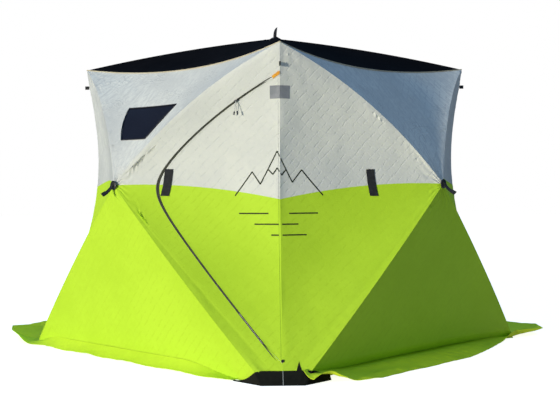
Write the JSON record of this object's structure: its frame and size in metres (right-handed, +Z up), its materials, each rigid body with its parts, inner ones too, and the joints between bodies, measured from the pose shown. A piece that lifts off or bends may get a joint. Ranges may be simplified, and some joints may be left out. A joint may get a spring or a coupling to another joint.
{
  "type": "pop-up ice fishing shelter",
  "caption": "Pop-up ice fishing hut of quilted fabric on a hub-and-pole frame, with a zipped corner door flap, a window and a snow skirt.",
  "frame": {"origin": "on the ground under the roof hub, at the middle of the base", "axes": "+Z up; -Y is the front wall's outward side, with the window and the door zip; +X is the right wall's outward side"},
  "size_m": [2.9198, 2.9198, 2.1299],
  "materials": {
    "white_fabric": "quilted, matt",
    "lime_fabric": "quilted, matt",
    "black_fabric": "matt",
    "webbing": "woven",
    "zip": "coil zip",
    "window_film": "glossy dark film",
    "dark_plastic": "moulded",
    "pole": "glass-fibre rod"
  },
  "bodies": {
    "shelter": {"front_top_panel": "white_fabric", "right_top_panel": "white_fabric", "back_top_panel": "white_fabric", "left_top_panel": "white_fabric", "front_bottom_panel": "lime_fabric", "right_bottom_panel": "lime_fabric", "back_bottom_panel": "lime_fabric", "left_bottom_panel": "lime_fabric", "front_left_corner_upper": "white_fabric", "front_left_corner_lower": "lime_fabric", "back_left_corner_upper": "white_fabric", "back_left_corner_lower": "lime_fabric", "back_right_corner_upper": "white_fabric", "back_right_corner_lower": "lime_fabric", "door_surround_upper": "white_fabric", "door_surround_lower": "lime_fabric", "door_corner_upper": "white_fabric", "door_corner_lower": "lime_fabric", "roof_panels": "black_fabric", "front_window": "window_film", "surround_zip": "zip", "wall_tab": "webbing", "wall_hubs": "dark_plastic", "roof_hub": "dark_plastic", "front_poles": "pole", "right_poles": "pole", "back_poles": "pole", "left_poles": "pole", "roof_poles": "pole", "pole_caps": "dark_plastic", "pole_feet": "dark_plastic", "hub_pull_straps": "webbing", "corner_loops": "webbing", "front_skirt": "lime_fabric", "right_skirt": "lime_fabric", "back_skirt": "lime_fabric", "left_skirt": "lime_fabric", "door_sill": "black_fabric"},
    "door": {"door_flap_upper": "white_fabric", "door_flap_lower": "lime_fabric", "door_zip": "zip", "door_tab": "webbing"}
  },
  "joints": [
    {"name": "door_flap_hinge", "type": "hinge", "parent": "shelter", "child": "door", "pos_m": [0.88499, -0.88499, 1.65377], "axis": [-0.1393, 0.1393, 0.9804], "range_deg": [0, 120]}
  ]
}
